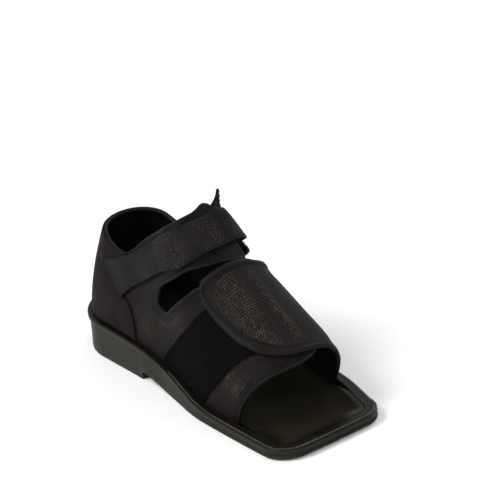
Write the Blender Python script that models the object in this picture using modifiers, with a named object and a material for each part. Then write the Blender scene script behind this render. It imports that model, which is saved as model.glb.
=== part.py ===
"""Fracture shoe: a stiff rubber sole with a square toe and an open fabric upper.

Axes: +X to the toe, -Y to the lateral side, +Z up, origin under the middle of the sole.
The upper is cut from flat patterns that are wrapped round one last. A pattern's point is (along, girth):
along runs on the seat line from the back of the heel, negative on the lateral side, and girth runs up the last.
"""
import math

import bmesh
import bpy
import numpy as np
from mathutils import Vector
from mathutils.geometry import delaunay_2d_cdt

# Sole
LENGTH = 0.295
BALL_WIDTH = 0.110
HEEL_WIDTH = 0.084
HEEL_STRETCH = 1.05
TOE_CORNER = 0.021
TOE_BOW = 0.002
TOE_SKEW = 0.002
HEEL_RIM = 0.0303
TOE_RIM = 0.0089
RIM_BAND = 0.010
RIM_LIP = 0.0012
LIP_DEPTH = 0.0035
HEEL_TAPER = 0.0004
EDGE = 0.0006
HEEL_BLOCK = 0.0985
BREAST = 0.0015
ARCH_LIFT = 0.0062
ARCH_LENGTH = 0.042
TOE_SPRING = 0.0015
SPRING_LENGTH = 0.058
WELL_DEPTH = 0.005
INSOLE_THICKNESS = 0.0025

# Upper
INSTEP_HEIGHT = 0.117
COLLAR_HEIGHT = 0.078
HEEL_LEAN = 0.19
SEAT_DEPTH = 0.001
UPPER_WALL = 0.0022
COUNTER_WALL = 0.0012
PATCH_WALL = 0.0012
FLAP_WALL = 0.0026
STRAP_WALL = 0.0022
WING_FLARE = 0.012
GAP = 0.0003
PATTERN_STEP = 0.0075
OUTLINE_STEP = 0.0050

# Plan outline: along as a share of LENGTH from the heel, half widths as shares of half of BALL_WIDTH.
PLAN = (
    # along, lateral, medial
    (0.150, 0.764, 0.764),
    (0.415, 0.800, 0.745),
    (0.642, 0.982, 1.000),
    (0.771, 1.000, 0.955),
    (0.932, 1.012, 0.775),
)
# Rim: height as a share of the fall from HEEL_RIM to TOE_RIM, flat band as a share of RIM_BAND.
RIM = (
    # along, height, band
    (0.000, 1.000, 0.42),
    (0.150, 0.950, 0.45),
    (0.297, 0.888, 0.44),
    (0.500, 0.435, 0.60),
    (0.703, 0.023, 0.76),
    (1.000, 0.000, 1.00),
)
# Last: top of the rib as a share of INSTEP_HEIGHT, then the powers that square its side and its top.
LAST = (
    # along, top, side_power, top_power
    (0.150, 2.140, 5.60, 1.00),
    (0.273, 1.880, 4.20, 1.00),
    (0.347, 1.520, 2.20, 1.00),
    (0.415, 1.290, 0.95, 0.95),
    (0.473, 1.150, 0.64, 0.90),
    (0.534, 1.010, 0.66, 0.90),
    (0.602, 0.872, 0.92, 0.88),
    (0.703, 0.700, 0.84, 0.85),
    (0.805, 0.547, 0.70, 0.80),
    (0.873, 0.444, 0.75, 0.80),
    (0.941, 0.290, 0.75, 0.80),
)

# Pattern lines: along as a share of LENGTH, girth as a share of COLLAR_HEIGHT.
COLLAR_LINE = (
    # along, girth
    (0.000, 1.000),
    (0.085, 1.000),
    (0.170, 0.985),
    (0.245, 0.935),
    (0.290, 0.910),
    (0.330, 1.020),
)
LATERAL_WING = (
    # along, girth
    (0.330, 1.020),
    (0.363, 1.126),
    (0.437, 1.339),
    (0.492, 1.518),
    (0.506, 1.680),
    (0.494, 1.880),
    (0.504, 1.950),
    (0.545, 1.880),
    (0.600, 1.770),
    (0.630, 1.660),
    (0.628, 1.490),
    (0.607, 1.275),
    (0.556, 1.072),
    (0.502, 0.864),
    (0.474, 0.690),
    (0.464, 0.610),
    (0.474, 0.560),
    (0.495, 0.575),
    (0.573, 0.797),
    (0.614, 0.949),
    (0.645, 1.120),
    (0.670, 1.330),
)
MEDIAL_WING = (
    # along, girth
    (0.330, 1.020),
    (0.363, 1.126),
    (0.405, 1.225),
    (0.437, 1.330),
    (0.456, 1.430),
    (0.463, 1.525),
    (0.474, 1.525),
    (0.492, 1.440),
    (0.508, 1.372),
    (0.540, 1.305),
    (0.574, 1.240),
    (0.588, 1.165),
    (0.577, 1.080),
    (0.552, 0.985),
    (0.502, 0.840),
    (0.474, 0.690),
    (0.464, 0.610),
    (0.474, 0.560),
    (0.495, 0.575),
    (0.503, 0.590),
)
FOREFOOT_END = (
    # along, girth
    (0.670, 1.330),
    (0.700, 1.480),
    (0.780, 1.420),
    (0.860, 1.300),
)
FOREFOOT_FRONT = (
    # along, girth
    (0.860, 1.300),
    (0.895, 1.197),
    (0.915, 0.960),
    (0.915, 0.744),
    (0.898, 0.550),
    (0.871, 0.383),
    (0.841, 0.196),
    (0.820, 0.000),
)
FLAP_FRONT = (
    # along, girth
    (0.820, 0.000),
    (0.846, 0.150),
    (0.868, 0.290),
    (0.882, 0.410),
    (0.890, 0.513),
    (0.896, 0.627),
    (0.899, 0.741),
    (0.898, 0.863),
    (0.892, 1.024),
    (0.875, 1.201),
    (0.847, 1.375),
    (0.807, 1.521),
    (0.759, 1.647),
    (0.705, 1.777),
    (0.660, 1.850),
    (0.637, 1.860),
    (0.626, 1.820),
    (0.631, 1.700),
    (0.637, 1.550),
    (0.638, 1.395),
    (0.638, 1.270),
    (0.635, 1.160),
    (0.610, 0.970),
    (0.569, 0.797),
    (0.530, 0.670),
    (0.503, 0.590),
)
LOOP_PATCH = (
    # along, girth
    (0.476, 0.040),
    (0.498, 0.170),
    (0.530, 0.310),
    (0.613, 0.650),
    (0.655, 0.940),
)
LOOP_PATCH_FRONT = (
    # along, girth
    (0.818, 0.640),
    (0.786, 0.500),
    (0.757, 0.360),
    (0.715, 0.190),
    (0.680, 0.030),
)
COUNTER_FRONT = (
    # along, girth
    (0.357, 0.030),
    (0.346, 0.240),
    (0.320, 0.390),
    (0.290, 0.440),
    (0.284, 0.620),
    (0.290, 0.890),
)
# Ankle strap, from its lateral end to its medial end: both edges at shares of its length (station), along as a
# share of LENGTH, angle in degrees round the rib from the lateral seat, lift in thicknesses of the counter.
STRAP = (
    # station, front_along, front_angle, back_along, back_angle, lift
    (0.00, 0.288, 9.0, 0.186, 14.0, 1.0),
    (0.09, 0.348, 14.5, 0.262, 17.5, 1.0),
    (0.17, 0.393, 20.0, 0.325, 22.0, 0.8),
    (0.28, 0.492, 36.0, 0.414, 38.0, 0.3),
    (0.38, 0.566, 57.0, 0.481, 57.0, 0.0),
    (0.45, 0.593, 76.0, 0.515, 73.0, 0.0),
    (0.50, 0.597, 90.0, 0.522, 88.0, 0.0),
    (0.55, 0.588, 104.0, 0.512, 103.0, 0.6),
    (0.62, 0.566, 122.0, 0.495, 121.0, 1.2),
    (0.72, 0.492, 144.0, 0.414, 142.0, 0.6),
    (0.83, 0.393, 160.0, 0.325, 158.0, 0.8),
    (0.91, 0.345, 166.0, 0.262, 163.0, 1.0),
    (1.00, 0.300, 171.0, 0.200, 166.0, 1.0),
)

# Steps of the meshes
HEEL_STEPS = 8
BLOCK_STEPS = 4
SIDE_STEPS = 20
CORNER_STEPS = 5
FRONT_STEPS = 3
CROSS_STEPS = 6
RIB_SAMPLES = 72
STRAP_STEPS = 34
STRAP_CROSS = 4

HEEL_RADIUS = HEEL_WIDTH / 2
HEEL_CENTRE = HEEL_STRETCH * HEEL_RADIUS - LENGTH / 2
BLOCK_END = HEEL_BLOCK - LENGTH / 2


def table_value(table, column, at):
    """Smooth value of a table's column, with no overshoot, for an array of shares."""
    rows = np.array(table, float)
    x, y = rows[:, 0], rows[:, column]
    step = np.diff(x)
    slope = np.diff(y) / step
    tangent = np.empty(len(x))
    tangent[0], tangent[-1] = slope[0], slope[-1]
    same = slope[:-1] * slope[1:] > 0
    mean = 2 * slope[:-1] * slope[1:] / np.where(same, slope[:-1] + slope[1:], 1)
    tangent[1:-1] = np.where(same, mean, 0)
    at = np.clip(at, x[0], x[-1])
    k = np.clip(np.searchsorted(x, at) - 1, 0, len(x) - 2)
    t = (at - x[k]) / step[k]
    start = (1 + 2 * t) * (1 - t) ** 2 * y[k] + t * (1 - t) ** 2 * step[k] * tangent[k]
    end = t * t * (3 - 2 * t) * y[k + 1] + t * t * (t - 1) * step[k] * tangent[k + 1]
    return start + end


def ramp(value, low, high):
    """Smooth step from 0 at low to 1 at high."""
    t = np.clip((value - low) / (high - low), 0, 1)
    return t * t * (3 - 2 * t)


def share(x):
    return np.asarray(x, float) / LENGTH + 0.5


def half_width(x, side):
    """Half width of the sole's plan; side is -1 on the lateral side and 1 on the medial side."""
    lateral = table_value(PLAN, 1, share(x))
    medial = table_value(PLAN, 2, share(x))
    heel = HEEL_WIDTH / BALL_WIDTH / PLAN[0][1]
    fade = np.clip((PLAN[1][0] - share(x)) / (PLAN[1][0] - PLAN[0][0]), 0, 1)
    return np.where(np.asarray(side) < 0, lateral, medial) * (1 + (heel - 1) * fade) * BALL_WIDTH / 2


def rim_height(x):
    return TOE_RIM + (HEEL_RIM - TOE_RIM) * table_value(RIM, 1, share(x))


def rim_band(x):
    return RIM_BAND * table_value(RIM, 2, share(x))


def bottom_height(x):
    """Underside of the sole: flat heel block, lifted arch, flat ball and toe spring."""
    if x <= BLOCK_END + BREAST / 2:
        return 0.0
    arch = min((x - BLOCK_END) / ARCH_LENGTH, 1)
    spring = max((x - LENGTH / 2 + SPRING_LENGTH) / SPRING_LENGTH, 0)
    return ARCH_LIFT * (1 + math.cos(math.pi * arch)) / 2 + TOE_SPRING * spring ** 2


def seat_radius():
    return HEEL_RADIUS - float(rim_band(HEEL_CENTRE)) - GAP


def rib_point(along, angle):
    """Point of the last. Arrays: along in metres on the seat line, angle in degrees from the seat on along's side."""
    side = np.where(along < 0, -1.0, 1.0)
    run = np.abs(along)
    turn = np.radians(angle)
    radius = seat_radius()
    arc = radius * math.pi / 2
    heel = run < arc
    x = HEEL_CENTRE + np.maximum(run - arc, 0)
    top = INSTEP_HEIGHT * table_value(LAST, 1, share(x))
    side_power = table_value(LAST, 2, share(x))
    top_power = table_value(LAST, 3, share(x))
    narrow = np.sign(np.cos(turn)) * np.abs(np.cos(turn)) ** side_power
    round_heel = np.clip(run / radius, 0, math.pi / 2)
    back = HEEL_STRETCH * radius * np.cos(round_heel)
    seat = rim_height(np.where(heel, HEEL_CENTRE - back, x)) - SEAT_DEPTH
    rise = (top - rim_height(x)) * np.abs(np.sin(turn)) ** top_power
    width = np.where(heel, radius * np.sin(round_heel), half_width(x, np.sign(narrow) * side) - rim_band(x) - GAP)
    lean = HEEL_LEAN * rise * np.clip(1.5 - run / (2 * arc), 0, 1)
    x = np.where(heel, HEEL_CENTRE - back * np.abs(narrow), x) + lean
    return np.stack([x, side * width * narrow, seat + rise], -1)


def rib_angle(along, girth):
    """Angle at a girth above the seat, from each rib's own length."""
    angles = np.linspace(0, 180, RIB_SAMPLES)
    ribs = rib_point(along[:, None] + 0 * angles, angles + 0 * along[:, None])
    steps = np.linalg.norm(np.diff(ribs, axis=1), axis=2)
    lengths = np.concatenate([np.zeros((len(along), 1)), np.cumsum(steps, axis=1)], axis=1)
    return np.array([np.interp(g, row, angles) for g, row in zip(girth, lengths)])


def lifted(along, angle, drop, lift):
    """Points of the last, lowered by drop and moved outwards by lift."""
    ahead = rib_point(along + 0.0005, angle) - rib_point(along - 0.0005, angle)
    upward = rib_point(along, angle + 0.4) - rib_point(along, np.maximum(angle - 0.4, 0))
    normal = -np.cross(ahead, upward)
    normal /= np.linalg.norm(normal, axis=-1, keepdims=True)
    normal[drop < 0, 2] = 0
    points = rib_point(along, angle) + normal * lift[:, None]
    points[:, 2] += drop
    return points


def on_last(pattern, lift):
    """World points of pattern points (along, girth), each lifted outwards by lift(along, girth)."""
    along, girth = np.array(pattern, float).T
    angle = rib_angle(along, np.maximum(girth, 0))
    return lifted(along, angle, np.minimum(girth, 0), lift(along, girth))


def sized(line, side):
    """A pattern line in metres on one side of the shoe."""
    return [(side * along * LENGTH, girth * COLLAR_HEIGHT) for along, girth in line]


def curve_through(points, step):
    """Even points on a smooth curve through pattern points, both ends kept."""
    p = np.array(points, float)
    p = np.concatenate([[2 * p[0] - p[1]], p, [2 * p[-1] - p[-2]]])
    out = [p[1]]
    for a, b, c, d in zip(p, p[1:], p[2:], p[3:]):
        count = max(1, round(float(np.linalg.norm(c - b)) / step))
        for t in np.linspace(0, 1, count + 1)[1:]:
            cubic = 2 * b + (c - a) * t + (2 * a - 5 * b + 4 * c - d) * t ** 2 + (3 * b - a - 3 * c + d) * t ** 3
            out.append(cubic / 2)
    return [tuple(point) for point in out]


def inside(point, loop):
    x, y = point
    crossings = False
    for (x1, y1), (x2, y2) in zip(loop, loop[1:] + loop[:1]):
        if (y1 > y) != (y2 > y) and x < (x2 - x1) * (y - y1) / (y2 - y1) + x1:
            crossings = not crossings
    return crossings


def fill_pattern(runs, step):
    """Triangles that fill a pattern outline, given as smooth runs that meet at corners."""
    loop = []
    for run in runs:
        loop += curve_through(run, OUTLINE_STEP)[:-1]
    edge = np.array(loop)
    low, high = edge.min(axis=0), edge.max(axis=0)
    points = list(loop)
    rows = int((high[1] - low[1]) / (step * 0.87)) + 1
    columns = int((high[0] - low[0]) / step) + 1
    for row in range(rows):
        for column in range(columns):
            at = (low[0] + (column + 0.5 * (row % 2)) * step, low[1] + (row + 0.5) * step * 0.87)
            clear = np.linalg.norm(edge - at, axis=1).min() > 0.62 * step
            if clear and inside(at, loop):
                points.append(at)
    edges = [(k, (k + 1) % len(loop)) for k in range(len(loop))]
    filled = delaunay_2d_cdt([Vector(p) for p in points], edges, [], 1, 1e-7)
    return [tuple(v) for v in filled[0]], [tuple(face) for face in filled[2]]


def material(name, colour, roughness, metallic=0.0):
    shade = bpy.data.materials.new(name)
    shade.use_nodes = True
    bsdf = shade.node_tree.nodes["Principled BSDF"]
    bsdf.inputs["Base Color"].default_value = (*colour, 1)
    bsdf.inputs["Roughness"].default_value = roughness
    bsdf.inputs["Metallic"].default_value = metallic
    return shade


def add_object(name, points, faces, shade, collection, wall=0.0):
    """One named part: a closed mesh, or an open one with a wall that grows inwards."""
    mesh = bpy.data.meshes.new(name)
    mesh.from_pydata([tuple(map(float, p)) for p in points], [], faces)
    mesh.materials.append(shade)
    part = bpy.data.objects.new(name, mesh)
    collection.objects.link(part)
    if wall:
        solidify = part.modifiers.new("Wall", "SOLIDIFY")
        solidify.thickness = wall
        solidify.offset = -1
    mesh.shade_smooth()
    mesh.set_sharp_from_angle(angle=math.radians(35))
    return part


def outward(points, faces):
    """Faces of one winding, all turned so that the piece faces away from the inside of the last."""
    votes = 0
    for face in faces:
        a, b, c = (np.array(points[k]) for k in face[:3])
        middle = (a + b + c) / 3
        core = np.array([np.clip(middle[0], HEEL_CENTRE, BLOCK_END), 0, TOE_RIM])
        votes += np.sign(np.cross(b - a, c - a) @ (middle - core))
    return faces if votes > 0 else [face[::-1] for face in faces]


def half_ring(inset, side):
    """Plan points from the heel's back to the toe's middle, set in by inset(x)."""
    points = []
    radius = HEEL_RADIUS - inset(HEEL_CENTRE)
    for k in range(HEEL_STEPS):
        turn = math.pi / 2 * k / HEEL_STEPS
        points.append((HEEL_CENTRE - HEEL_STRETCH * radius * math.cos(turn), side * radius * math.sin(turn)))
    toe = LENGTH / 2 - TOE_BOW - inset(LENGTH / 2)
    corner = max(TOE_CORNER - inset(LENGTH / 2), EDGE)
    stations = list(np.linspace(HEEL_CENTRE, BLOCK_END, BLOCK_STEPS))
    stations += list(np.linspace(BLOCK_END + BREAST, toe - corner, SIDE_STEPS))
    for x in stations:
        points.append((x, side * (float(half_width(x, side)) - inset(x))))
    middle = abs(points[-1][1]) - corner
    for k in range(1, CORNER_STEPS + 1):
        turn = math.pi / 2 * k / CORNER_STEPS
        points.append((toe - corner + corner * math.sin(turn), side * (middle + corner * math.cos(turn))))
    for k in range(1, FRONT_STEPS + 1):
        points.append((toe, side * middle * (1 - k / FRONT_STEPS)))
    return [(x + toe_bow(x, y), y) for x, y in points]


def toe_bow(x, y):
    """Forward shift of a plan point: the toe bows a little and its medial corner lies further back."""
    forward = min(max((x - BLOCK_END) / (LENGTH / 2 - BLOCK_END), 0), 1)
    across = 2 * y / BALL_WIDTH
    return (forward ** 6) * (TOE_BOW * (1 - across ** 2) - TOE_SKEW * (1 + across) / 2)


def ring(inset, height):
    """Closed loop of points round the sole: lateral half forwards, medial half back."""
    plan = half_ring(inset, -1) + half_ring(inset, 1)[-2:0:-1]
    return [(x, y, float(height(x))) for x, y in plan]


def loft(rings):
    """Skin between rings of one point count, closed by strips across the first and the last."""
    count = len(rings[0])
    points = [p for loop in rings for p in loop]
    faces = []
    for level in range(len(rings) - 1):
        for k in range(count):
            a, b = level * count + k, level * count + (k + 1) % count
            faces.append((a, b, b + count, a + count))
    for level, flip in ((0, True), (len(rings) - 1, False)):
        base = level * count
        lines = []
        for k in range(1, count // 2):
            left, right = base + k, base + count - k
            a, b = np.array(points[left]), np.array(points[right])
            line = [left]
            for t in np.linspace(0, 1, CROSS_STEPS + 1)[1:-1]:
                points.append(tuple(a + (b - a) * t))
                line.append(len(points) - 1)
            lines.append(line + [right])
        caps = [(base, lines[0][k], lines[0][k + 1]) for k in range(CROSS_STEPS)]
        for first, second in zip(lines, lines[1:]):
            for k in range(CROSS_STEPS):
                caps.append((first[k], second[k], second[k + 1], first[k + 1]))
        end = base + count // 2
        caps += [(lines[-1][k], end, lines[-1][k + 1]) for k in range(CROSS_STEPS)]
        faces += [face[::-1] for face in caps] if flip else caps
    return points, faces


def orient(part):
    """Make a closed mesh's faces point out."""
    work = bmesh.new()
    work.from_mesh(part.data)
    bmesh.ops.recalc_face_normals(work, faces=work.faces)
    work.to_mesh(part.data)
    work.free()
    part.data.shade_smooth()
    part.data.set_sharp_from_angle(angle=math.radians(35))


def heel_taper(x):
    """Draught of the heel block's side, which fades out over the arch."""
    return HEEL_TAPER * min(max((BLOCK_END + ARCH_LENGTH - x) / HEEL_BLOCK, 0), 1)


def outsole(collection, shade):
    rings = [
        ring(lambda x: heel_taper(x) + 2 * EDGE, bottom_height),
        ring(lambda x: heel_taper(x) + EDGE, lambda x: bottom_height(x) + EDGE),
        ring(lambda x: RIM_LIP, lambda x: rim_height(x) - LIP_DEPTH - RIM_LIP),
        ring(lambda x: 0.0, lambda x: rim_height(x) - LIP_DEPTH),
        ring(lambda x: 0.0, lambda x: rim_height(x) - RIM_LIP),
        ring(lambda x: RIM_LIP, rim_height),
        ring(lambda x: float(rim_band(x)) - SEAT_DEPTH, rim_height),
        ring(lambda x: float(rim_band(x)), lambda x: rim_height(x) - SEAT_DEPTH),
        ring(lambda x: float(rim_band(x)), lambda x: rim_height(x) - WELL_DEPTH),
    ]
    orient(add_object("outsole", *loft(rings), shade, collection))


def insole_inset(x):
    """Room for the upper's wall, which stops short of the toe."""
    wing_front = FLAP_FRONT[0][0] * LENGTH - seat_radius() * math.pi / 2 + HEEL_CENTRE
    bare = min(max((x - wing_front) / (2 * RIM_BAND) - 0.25, 0), 1)
    return float(rim_band(x)) + GAP + (FLAP_WALL + 2 * GAP) * (1 - bare)


def insole_top(x):
    return rim_height(x) - WELL_DEPTH + GAP + INSOLE_THICKNESS


def insole(collection, shade):
    rings = [
        ring(insole_inset, lambda x: insole_top(x) - INSOLE_THICKNESS),
        ring(insole_inset, lambda x: insole_top(x) - EDGE / 2),
        ring(lambda x: insole_inset(x) + EDGE / 2, insole_top),
    ]
    orient(add_object("insole", *loft(rings), shade, collection))


def wrapped(name, runs, lift, wall, shade, collection):
    """A pattern piece: filled flat, wrapped round the last, then given its wall."""
    pattern, faces = fill_pattern(runs, PATTERN_STEP)
    points = on_last(pattern, lift)
    return add_object(name, points, outward(points, faces), shade, collection, wall)


def at_base(along, side):
    """Foot of the upper's wall, just off the floor of the sole's well."""
    return (side * along * LENGTH, SEAT_DEPTH + GAP - WELL_DEPTH)


def seam():
    return MEDIAL_WING[-1]


def wing_flare(along, girth):
    """The free corner of the medial ankle wing stands away from the ankle."""
    rise = girth / COLLAR_HEIGHT
    forward = along / LENGTH
    return WING_FLARE * ramp(rise, 1.28, 1.54) * ramp(-forward, -0.520, -0.460) * (forward > 0)


def upper(collection, shade):
    lateral_front, medial_end = FOREFOOT_FRONT[-1], seam()
    runs = [
        [at_base(lateral_front[0], -1), (0.0, at_base(0, 1)[1]), at_base(medial_end[0], 1)],
        [at_base(medial_end[0], 1)] + sized([medial_end], 1),
        sized(MEDIAL_WING[::-1], 1),
        sized(COLLAR_LINE[::-1], 1) + sized(COLLAR_LINE[1:], -1),
        sized(LATERAL_WING, -1),
        sized(FOREFOOT_END, -1),
        sized(FOREFOOT_FRONT, -1),
        sized([lateral_front], -1) + [at_base(lateral_front[0], -1)],
    ]
    wrapped("upper", runs, wing_flare, UPPER_WALL, shade, collection)


def flap_lift(along, girth):
    """The flap stands in the well, then rises over the lateral wing and, past the top, over its loop patch."""
    rise = girth / COLLAR_HEIGHT
    return (FLAP_WALL + GAP) * ramp(rise, 0.08, 0.68) + (PATCH_WALL + 2 * GAP) * ramp(rise, 1.10, 1.55)


def forefoot_flap(collection, shade):
    front, end = FLAP_FRONT[0], seam()
    shift = 2 * GAP / LENGTH
    rear = (end[0] + shift, end[1])
    line = FLAP_FRONT[:-1] + (rear,)
    runs = [
        [at_base(rear[0], 1), at_base(front[0], 1)],
        [at_base(front[0], 1)] + sized([front], 1),
        sized(line, 1),
        sized([rear], 1) + [at_base(rear[0], 1)],
    ]
    wrapped("forefoot_flap", runs, flap_lift, FLAP_WALL, shade, collection)


def loop_patch(collection, shade):
    runs = [
        sized(LOOP_PATCH, -1),
        sized([LOOP_PATCH[-1], LOOP_PATCH_FRONT[0]], -1),
        sized(LOOP_PATCH_FRONT, -1),
        sized([LOOP_PATCH_FRONT[-1], LOOP_PATCH[0]], -1),
    ]
    runs = [[(along, max(girth, 2 * SEAT_DEPTH)) for along, girth in run] for run in runs]
    wrapped("loop_patch", runs, lambda along, girth: 0 * along + GAP + PATCH_WALL, PATCH_WALL, shade, collection)


def heel_counter(collection, shade):
    base = [(x, 2 * SEAT_DEPTH) for x in (-COUNTER_FRONT[0][0] * LENGTH, 0, COUNTER_FRONT[0][0] * LENGTH)]
    below = [(along, girth - 0.02) for along, girth in COLLAR_LINE if along < COUNTER_FRONT[-1][0]]
    below.append(COUNTER_FRONT[-1])
    runs = [
        base,
        sized(COUNTER_FRONT, 1),
        sized(below[::-1], 1) + sized(below[1:], -1),
        sized(COUNTER_FRONT[::-1], -1),
    ]
    wrapped("heel_counter", runs, lambda along, girth: 0 * along + GAP + COUNTER_WALL, COUNTER_WALL, shade, collection)


def ankle_strap(collection, shade):
    """A band from the medial quarter over the instep to the lateral side of the counter."""
    stations = np.linspace(0, 1, STRAP_STEPS + 1)
    columns = [table_value(STRAP, column, stations) for column in range(1, 6)]
    front_along, front_angle, back_along, back_angle, lift = columns
    points = []
    for t in np.linspace(0, 1, STRAP_CROSS + 1):
        along = -LENGTH * (front_along + (back_along - front_along) * t)
        angle = front_angle + (back_angle - front_angle) * t
        out = STRAP_WALL + 2 * GAP + (COUNTER_WALL + GAP) * lift
        points.append(lifted(along, angle, 0 * along, out))
    points = np.concatenate(points)
    row = STRAP_STEPS + 1
    faces = []
    for j in range(STRAP_CROSS):
        for k in range(STRAP_STEPS):
            a = j * row + k
            faces.append((a, a + 1, a + row + 1, a + row))
    add_object("ankle_strap", points, outward(points, faces), shade, collection, STRAP_WALL)


def main():
    for old in list(bpy.data.objects):
        bpy.data.objects.remove(old, do_unlink=True)
    shoe = bpy.data.collections.new("fracture_shoe")
    bpy.context.scene.collection.children.link(shoe)
    rubber = material("sole_rubber", (0.045, 0.042, 0.036), 0.45)
    lining = material("insole_foam", (0.03, 0.03, 0.03), 0.7)
    fabric = material("upper_fabric", (0.03, 0.027, 0.027), 0.75)
    stay = material("counter_fabric", (0.025, 0.022, 0.02), 0.6)
    loop = material("loop_pile", (0.01, 0.01, 0.01), 0.95)
    web = material("strap_fabric", (0.022, 0.02, 0.02), 0.8)
    outsole(shoe, rubber)
    insole(shoe, lining)
    upper(shoe, fabric)
    heel_counter(shoe, stay)
    loop_patch(shoe, loop)
    forefoot_flap(shoe, fabric)
    ankle_strap(shoe, web)


main()
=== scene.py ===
# %% [markdown]
# # A fracture shoe
# A fracture shoe is a stiff sandal that is worn over a cast or a bandage. It has a moulded rubber sole with
# a square toe, an open upper of black mesh, a flap over the forefoot and a strap over the ankle.
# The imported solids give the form. This script dresses them with fine surfaces, edge tape, thread and cloth.

# %% Load the solids
import math

import bmesh
import bpy
import numpy as np
from mathutils import Matrix, Vector


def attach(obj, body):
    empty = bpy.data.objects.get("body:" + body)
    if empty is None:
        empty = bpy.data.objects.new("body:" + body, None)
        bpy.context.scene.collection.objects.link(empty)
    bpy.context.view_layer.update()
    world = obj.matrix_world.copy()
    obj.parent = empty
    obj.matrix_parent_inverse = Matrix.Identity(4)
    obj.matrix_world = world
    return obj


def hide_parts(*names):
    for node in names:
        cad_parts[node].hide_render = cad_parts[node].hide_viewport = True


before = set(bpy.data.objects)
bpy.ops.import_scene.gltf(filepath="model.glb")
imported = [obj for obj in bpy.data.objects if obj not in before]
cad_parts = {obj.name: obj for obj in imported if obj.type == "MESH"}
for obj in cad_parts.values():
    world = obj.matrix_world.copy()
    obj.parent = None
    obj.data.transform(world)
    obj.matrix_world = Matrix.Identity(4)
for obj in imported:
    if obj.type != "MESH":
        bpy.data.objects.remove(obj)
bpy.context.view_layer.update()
print("nodes:", ", ".join(sorted(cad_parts)))

# %% [markdown]
# ## The camera
# The photograph is taken from in front of the shoe's outer side, from above, with the camera rolled a little.
# Such a camera is built from three angles. The look direction comes from azimuth and elevation, and the roll
# turns the right and up directions round it. A long lens keeps the lines of the sole almost parallel.

# %% Set the camera
AZIMUTH = math.radians(57.1)
ELEVATION = math.radians(25.2)
ROLL = math.radians(-7.9)
DISTANCE = 3.505
TARGET = Vector((0.0008, 0.0372, 0.1023))
SENSOR = 36.0
LENS = 339.2


def camera_axes():
    """Right, up and look directions of the rolled camera."""
    flat = math.cos(ELEVATION)
    look = Vector((-math.sin(AZIMUTH) * flat, math.cos(AZIMUTH) * flat, -math.sin(ELEVATION)))
    level = Vector((math.cos(AZIMUTH), math.sin(AZIMUTH), 0))
    upright = level.cross(look)
    right = math.cos(ROLL) * level + math.sin(ROLL) * upright
    up = math.cos(ROLL) * upright - math.sin(ROLL) * level
    return right, up, look


right, up, look = camera_axes()
camera = bpy.data.objects.new("camera", bpy.data.cameras.new("camera"))
bpy.context.scene.collection.objects.link(camera)
turn = Matrix((right, up, -look)).transposed()
camera.matrix_world = Matrix.Translation(TARGET - look * DISTANCE) @ turn.to_4x4()
camera.data.sensor_width = SENSOR
camera.data.lens = LENS
camera.data.clip_end = 50
bpy.context.scene.camera = camera
print("camera at", [round(v, 3) for v in camera.location])

# %% [markdown]
# ## Floor and light
# Black goods need large, soft lights: their form shows only in the gloss. A white floor and a white world
# stand for the studio. One big softbox hangs over the heel and a second one in front of the toe.

# %% Build the studio
FLOOR_SIZE = 8.0
WORLD_LIGHT = 0.55


def plain_surface(name, colour, roughness):
    """A material with one colour, for the studio."""
    shade = bpy.data.materials.new(name)
    shade.use_nodes = True
    bsdf = shade.node_tree.nodes["Principled BSDF"]
    bsdf.inputs["Base Color"].default_value = (*colour, 1)
    bsdf.inputs["Roughness"].default_value = roughness
    return shade


def softbox(name, place, aim, size, power):
    """A square area light that points at a place."""
    light = bpy.data.lights.new(name, "AREA")
    light.energy = power
    light.size = size
    box = bpy.data.objects.new(name, light)
    bpy.context.scene.collection.objects.link(box)
    box.location = place
    box.rotation_euler = (Vector(aim) - Vector(place)).to_track_quat("-Z", "Y").to_euler()


floor_mesh = bmesh.new()
bmesh.ops.create_grid(floor_mesh, x_segments=1, y_segments=1, size=FLOOR_SIZE / 2)
floor_data = bpy.data.meshes.new("floor")
floor_mesh.to_mesh(floor_data)
floor_mesh.free()
floor_data.materials.append(plain_surface("studio_floor", (0.9, 0.9, 0.9), 0.9))
floor = bpy.data.objects.new("floor", floor_data)
bpy.context.scene.collection.objects.link(floor)

world = bpy.data.worlds.new("studio")
world.use_nodes = True
world.node_tree.nodes["Background"].inputs["Color"].default_value = (1, 1, 1, 1)
world.node_tree.nodes["Background"].inputs["Strength"].default_value = WORLD_LIGHT
bpy.context.scene.world = world
bpy.context.scene.view_settings.view_transform = "Standard"
softbox("key", (-0.5, -1.2, 1.5), (0, 0, 0.05), 0.9, 28)
softbox("front", (1.5, -0.7, 1.2), (0.05, 0, 0.05), 0.8, 12)
softbox("back", (-0.4, 1.5, 1.1), (0, 0, 0.05), 0.9, 10)
print("studio ready")

# %% [markdown]
# ## Sizes
# The same named sizes shape the solids. They are repeated here because the fine surfaces have to lie where
# the solids lie. All of them are metres.

# %% Name the sizes
LENGTH = 0.295
BALL_WIDTH = 0.110
HEEL_WIDTH = 0.084
HEEL_STRETCH = 1.05
TOE_CORNER = 0.021
TOE_BOW = 0.002
TOE_SKEW = 0.002
HEEL_RIM = 0.0303
TOE_RIM = 0.0089
RIM_BAND = 0.010
RIM_LIP = 0.0012
LIP_DEPTH = 0.0035
HEEL_TAPER = 0.0004
HEEL_BLOCK = 0.0985
BREAST = 0.0015
ARCH_LIFT = 0.0062
ARCH_LENGTH = 0.042
TOE_SPRING = 0.0015
SPRING_LENGTH = 0.058
WELL_DEPTH = 0.005
INSTEP_HEIGHT = 0.117
COLLAR_HEIGHT = 0.078
HEEL_LEAN = 0.19
SEAT_DEPTH = 0.001
UPPER_WALL = 0.0022
COUNTER_WALL = 0.0012
PATCH_WALL = 0.0012
FLAP_WALL = 0.0026
STRAP_WALL = 0.0022
WING_FLARE = 0.012
GAP = 0.0003
HEEL_RADIUS = HEEL_WIDTH / 2
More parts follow.
